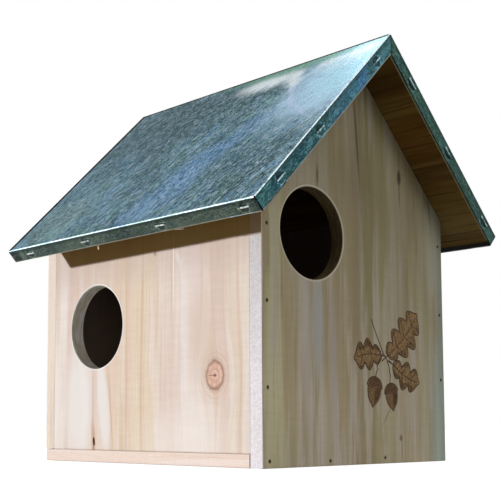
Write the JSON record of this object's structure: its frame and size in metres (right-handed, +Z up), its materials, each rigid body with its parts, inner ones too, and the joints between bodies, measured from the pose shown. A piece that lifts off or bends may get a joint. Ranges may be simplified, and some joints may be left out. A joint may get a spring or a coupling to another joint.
{
  "type": "squirrel house",
  "caption": "Gabled wooden squirrel house with round front and side entrances, a folded galvanised sheet roof, a hinged clean-out door with a turn button, and a keyhole hanger.",
  "frame": {"origin": "middle of the house's footprint (walls and panels), on the underside of the floor board", "axes": "+X towards the wall with the clean-out door, -Y towards the front entrance, +Z up"},
  "size_m": [0.2927, 0.3046, 0.3317],
  "materials": {
    "panel_pine": "planed pine, unpainted",
    "wall_pine": "planed pine, unpainted",
    "roof_pine": "sawn pine, unpainted",
    "galvanised_sheet": "galvanised, spangled",
    "zinc_steel": "zinc plated"
  },
  "bodies": {
    "house": {"front_panel": "panel_pine", "rear_panel": "wall_pine", "left_wall": "wall_pine", "right_wall": "wall_pine", "floor_board": "wall_pine", "left_roof_board": "roof_pine", "right_roof_board": "roof_pine", "roof_sheet": "galvanised_sheet", "left_eave_staple_1": "zinc_steel", "left_eave_staple_2": "zinc_steel", "left_eave_staple_3": "zinc_steel", "left_eave_staple_4": "zinc_steel", "right_eave_staple_1": "zinc_steel", "right_eave_staple_2": "zinc_steel", "right_eave_staple_3": "zinc_steel", "right_eave_staple_4": "zinc_steel", "front_left_rake_staple_1": "zinc_steel", "front_left_rake_staple_2": "zinc_steel", "front_left_rake_staple_3": "zinc_steel", "front_right_rake_staple_1": "zinc_steel", "front_right_rake_staple_2": "zinc_steel", "front_right_rake_staple_3": "zinc_steel", "rear_left_rake_staple_1": "zinc_steel", "rear_left_rake_staple_2": "zinc_steel", "rear_left_rake_staple_3": "zinc_steel", "rear_right_rake_staple_1": "zinc_steel", "rear_right_rake_staple_2": "zinc_steel", "rear_right_rake_staple_3": "zinc_steel", "door_stop_strip": "wall_pine", "lower_hinge_wall_leaf": "zinc_steel", "lower_hinge_pin": "zinc_steel", "lower_hinge_wall_leaf_screw_1": "zinc_steel", "lower_hinge_wall_leaf_screw_2": "zinc_steel", "upper_hinge_wall_leaf": "zinc_steel", "upper_hinge_pin": "zinc_steel", "upper_hinge_wall_leaf_screw_1": "zinc_steel", "upper_hinge_wall_leaf_screw_2": "zinc_steel", "turn_button_washer": "zinc_steel", "turn_button_screw": "zinc_steel", "hanger_plate": "zinc_steel", "hanger_plate_screw_1": "zinc_steel", "hanger_plate_screw_2": "zinc_steel"},
    "door": {"clean_out_door": "wall_pine", "lower_hinge_door_leaf": "zinc_steel", "lower_hinge_door_leaf_screw_1": "zinc_steel", "lower_hinge_door_leaf_screw_2": "zinc_steel", "upper_hinge_door_leaf": "zinc_steel", "upper_hinge_door_leaf_screw_1": "zinc_steel", "upper_hinge_door_leaf_screw_2": "zinc_steel"},
    "button": {"turn_button": "zinc_steel"}
  },
  "joints": [
    {"name": "door_hinge", "type": "hinge", "parent": "house", "child": "door", "pos_m": [0.1125, -0.06925, 0.095], "axis": [0, 0, -1], "range_deg": [0, 170]},
    {"name": "button_turn", "type": "hinge", "parent": "house", "child": "button", "pos_m": [0.112, 0.082, 0.095], "axis": [1, 0, 0], "continuous": true}
  ]
}
